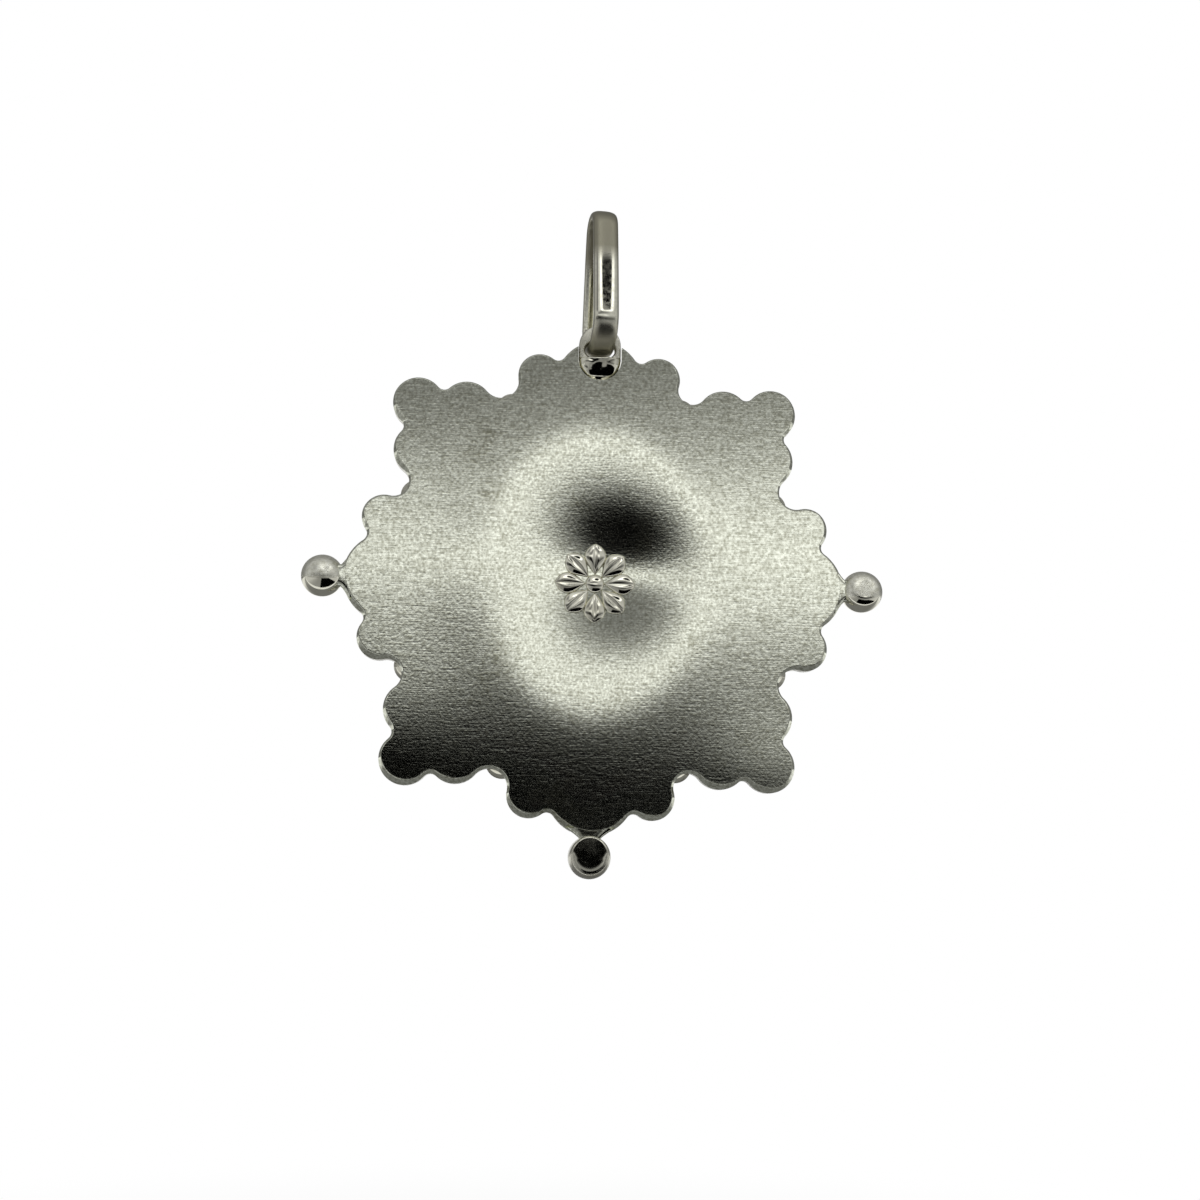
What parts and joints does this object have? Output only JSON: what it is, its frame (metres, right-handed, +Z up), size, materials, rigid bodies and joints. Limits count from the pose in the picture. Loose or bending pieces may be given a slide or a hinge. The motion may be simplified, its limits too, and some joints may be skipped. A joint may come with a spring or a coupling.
{
  "type": "medallion pendant",
  "caption": "Scalloped silver star medallion with a dished satin back, ball finials, a beaded front with a flaming heart, and a strap bail that swings in an eye at the top.",
  "frame": {"origin": "chain seat: the top of the inside of the bail, on the medallion's middle line", "axes": "+Z up along the hanging medallion towards the bail, -Y out of the satin back that the picture shows, +Y out of the beaded front, +X to the right as seen on the back"},
  "size_m": [0.0406, 0.005, 0.0476],
  "materials": {
    "satin_silver": "satin, fine horizontal grain on the back",
    "polished_silver": "polished"
  },
  "bodies": {
    "bail_body": {"bail": "polished_silver"},
    "medallion": {"back_plate": "satin_silver", "east_ball_finial": "polished_silver", "east_leading_bead": "polished_silver", "east_tip_bead": "polished_silver", "east_trailing_bead": "polished_silver", "heart_flame": "polished_silver", "north_leading_bead": "polished_silver", "north_tip_bead": "polished_silver", "north_trailing_bead": "polished_silver", "northeast_corner_bead": "polished_silver", "northeast_first_bead": "polished_silver", "northeast_first_notch_bead": "polished_silver", "northeast_second_bead": "polished_silver", "northeast_second_notch_bead": "polished_silver", "northwest_corner_bead": "polished_silver", "northwest_first_bead": "polished_silver", "northwest_first_notch_bead": "polished_silver", "northwest_second_bead": "polished_silver", "northwest_second_notch_bead": "polished_silver", "sacred_heart": "polished_silver", "south_ball_finial": "polished_silver", "south_leading_bead": "polished_silver", "south_tip_bead": "polished_silver", "south_trailing_bead": "polished_silver", "southeast_corner_bead": "polished_silver", "southeast_first_bead": "polished_silver", "southeast_first_notch_bead": "polished_silver", "southeast_second_bead": "polished_silver", "southeast_second_notch_bead": "polished_silver", "southwest_corner_bead": "polished_silver", "southwest_first_bead": "polished_silver", "southwest_first_notch_bead": "polished_silver", "southwest_second_bead": "polished_silver", "southwest_second_notch_bead": "polished_silver", "thorn_band": "polished_silver", "top_eye": "polished_silver", "west_ball_finial": "polished_silver", "west_leading_bead": "polished_silver", "west_tip_bead": "polished_silver", "west_trailing_bead": "polished_silver"}
  },
  "joints": [
    {"name": "medallion_swing", "type": "hinge", "parent": "bail_body", "child": "medallion", "pos_m": [0, 0, -0.0076], "axis": [0.9903, 0.1392, 0], "range_deg": [-60, 60]}
  ]
}
